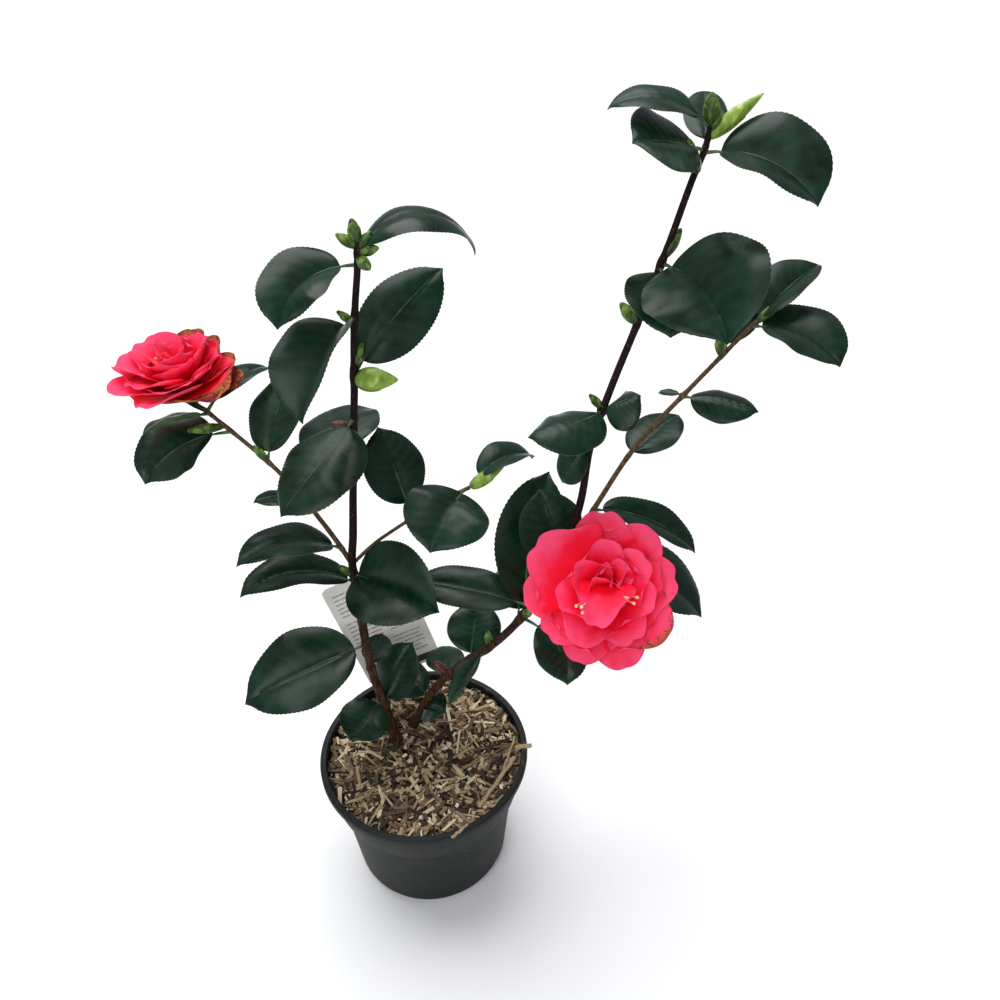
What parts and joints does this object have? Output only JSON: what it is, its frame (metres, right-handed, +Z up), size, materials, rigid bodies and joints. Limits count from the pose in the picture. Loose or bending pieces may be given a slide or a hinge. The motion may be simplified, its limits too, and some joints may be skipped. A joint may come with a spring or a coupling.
{
  "type": "camellia shrub in a nursery pot",
  "caption": "Young camellia shrub with leaning stems, broad glossy leaves, buds and full red blooms, in a round plastic nursery pot filled with bark chippings.",
  "frame": {"origin": "centre of the pot's flat underside", "axes": "+Z up along the pot's axis, +Y away from the side that shows both blooms, +X to the right of that view"},
  "size_m": [0.4247, 0.1795, 0.5381],
  "materials": {
    "pot_plastic": "matte slate-grey plastic",
    "chippings": "rough straw-brown bark chippings",
    "card": "off-white card",
    "bark": "smooth red-brown bark",
    "leaf": "glossy dark green leaf",
    "petal": "soft coral-red petal"
  },
  "bodies": {
    "root": {"pot": "pot_plastic", "bark_soil": "chippings", "care_label": "card", "left_stem": "bark", "left_side_branch": "bark", "middle_twig": "bark", "right_stem": "bark", "right_side_branch": "bark", "left_crown": "leaf", "left_side_spray": "leaf", "middle_spray": "leaf", "right_crown": "leaf", "right_side_spray": "leaf", "right_bloom": "petal", "left_bloom": "petal", "left_leaf_1": "leaf", "left_leaf_2": "leaf", "left_leaf_3": "leaf", "left_leaf_4": "leaf", "left_leaf_5": "leaf", "left_leaf_6": "leaf", "left_leaf_7": "leaf", "left_leaf_8": "leaf", "right_leaf_1": "leaf", "right_leaf_2": "leaf", "right_leaf_3": "leaf", "right_leaf_4": "leaf", "right_leaf_5": "leaf", "right_leaf_6": "leaf", "right_leaf_7": "leaf", "right_leaf_8": "leaf", "right_leaf_9": "leaf", "right_leaf_10": "leaf", "right_leaf_11": "leaf", "right_leaf_12": "leaf", "right_leaf_13": "leaf", "right_leaf_14": "leaf", "right_leaf_15": "leaf", "right_leaf_16": "leaf", "right_leaf_17": "leaf", "right_leaf_18": "leaf"}
  },
  "joints": []
}
